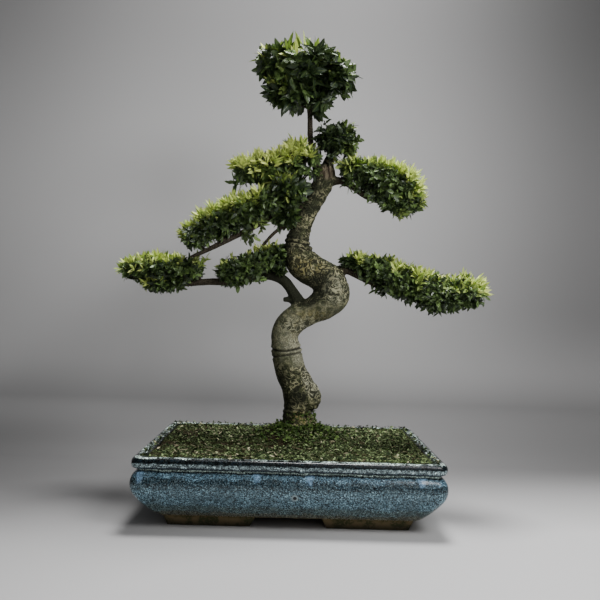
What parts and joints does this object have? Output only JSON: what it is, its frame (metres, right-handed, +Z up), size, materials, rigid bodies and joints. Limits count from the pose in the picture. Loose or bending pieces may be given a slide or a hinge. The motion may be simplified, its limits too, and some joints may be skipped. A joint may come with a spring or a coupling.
{
  "type": "chinese elm bonsai",
  "caption": "Chinese elm bonsai with a curved trunk and clipped foliage pads, growing in a filled glazed rectangular pot on corner feet.",
  "frame": {"origin": "on the surface that the pot stands on, below the middle of the pot", "axes": "+X to the right along the pot's long side, +Y to the back, +Z up; the pot's front faces -Y"},
  "size_m": [0.6761, 0.352, 0.8283],
  "materials": {
    "glaze": "gloss",
    "drain_screen": "matte",
    "soil": "matte",
    "bark": "matte",
    "mature_leaf": "satin",
    "young_leaf": "satin"
  },
  "bodies": {
    "root": {"pot": "glaze", "drain_screen_left": "drain_screen", "drain_screen_right": "drain_screen", "soil": "soil", "tree_wood": "bark", "young_shoot_crown_1": "young_leaf", "young_shoot_crown_2": "young_leaf", "young_shoot_left_top_1": "young_leaf", "young_shoot_left_top_2": "young_leaf", "young_shoot_left_middle_1": "young_leaf", "young_shoot_left_middle_2": "young_leaf", "young_shoot_left_low_outer_1": "young_leaf", "young_shoot_left_low_outer_2": "young_leaf", "young_shoot_right_top_1": "young_leaf", "young_shoot_right_top_2": "young_leaf", "young_shoot_right_low_1": "young_leaf", "young_shoot_right_low_2": "young_leaf", "foliage_crown": "mature_leaf", "foliage_side_ball": "mature_leaf", "foliage_left_top": "mature_leaf", "foliage_left_middle": "mature_leaf", "foliage_centre": "mature_leaf", "foliage_left_low_outer": "mature_leaf", "foliage_left_low_inner": "mature_leaf", "foliage_right_top": "mature_leaf", "foliage_right_low": "mature_leaf"}
  },
  "joints": []
}
